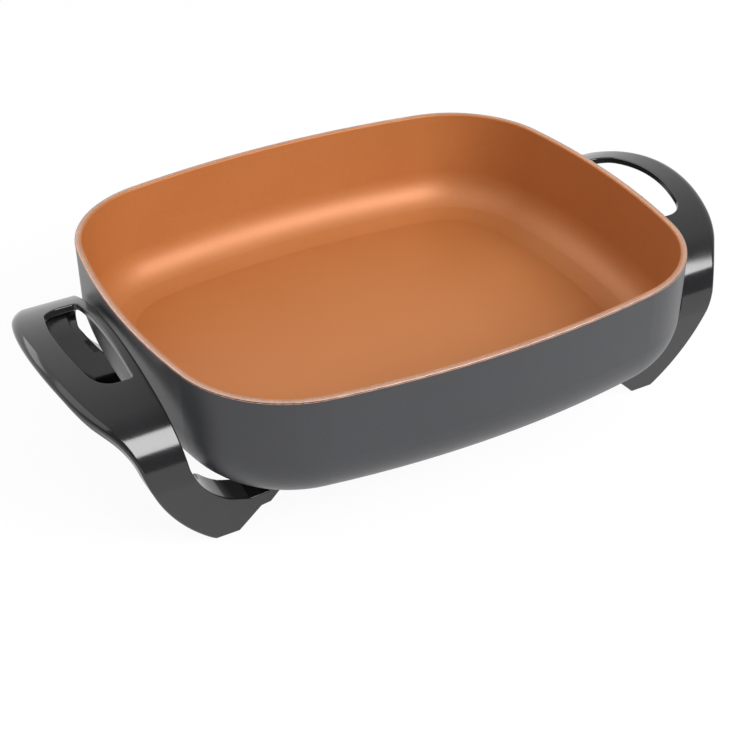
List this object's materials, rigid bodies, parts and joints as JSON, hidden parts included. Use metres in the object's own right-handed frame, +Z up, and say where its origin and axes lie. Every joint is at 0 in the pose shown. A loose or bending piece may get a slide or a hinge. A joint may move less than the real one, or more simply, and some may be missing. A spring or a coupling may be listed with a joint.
{
  "type": "electric skillet",
  "caption": "Countertop electric skillet: deep rounded rectangular pan with a copper-coloured lining, carried by black handles whose legs are its feet.",
  "frame": {"origin": "on the surface that the feet stand on, under the middle of the pan", "axes": "+X along the long side towards the heater's terminals, +Y towards the back, +Z up"},
  "size_m": [0.497, 0.3154, 0.125],
  "materials": {
    "charcoal_aluminium": "cast aluminium with a satin charcoal coating outside",
    "copper_nonstick": "satin copper-coloured ceramic non-stick",
    "black_phenolic": "glossy moulded black phenolic",
    "sheath_steel": "drawn heat-resisting steel tube",
    "heater_mineral": "matt white mineral and ceramic",
    "terminal_plating": "bright nickel plating",
    "guard_steel": "folded satin sheet steel",
    "fastener_steel": "zinc-plated steel",
    "foot_rubber": "matt black silicone rubber"
  },
  "bodies": {
    "root": {"pan_casting": "charcoal_aluminium", "cooking_surface_coating": "copper_nonstick", "left_handle": "black_phenolic", "right_handle": "black_phenolic", "heater_sheath": "sheath_steel", "heater_insulation": "heater_mineral", "heating_wire": "sheath_steel", "terminal_pin_front": "terminal_plating", "terminal_pin_back": "terminal_plating", "terminal_insulator_front": "heater_mineral", "terminal_insulator_back": "heater_mineral", "terminal_guard": "guard_steel", "guard_washers": "fastener_steel", "guard_screws": "fastener_steel", "left_handle_screws": "fastener_steel", "right_handle_screws": "fastener_steel", "left_handle_washers": "fastener_steel", "right_handle_washers": "fastener_steel", "left_heat_spacers": "fastener_steel", "right_heat_spacers": "fastener_steel", "front_left_foot": "foot_rubber", "back_left_foot": "foot_rubber", "front_right_foot": "foot_rubber", "back_right_foot": "foot_rubber"}
  },
  "joints": []
}
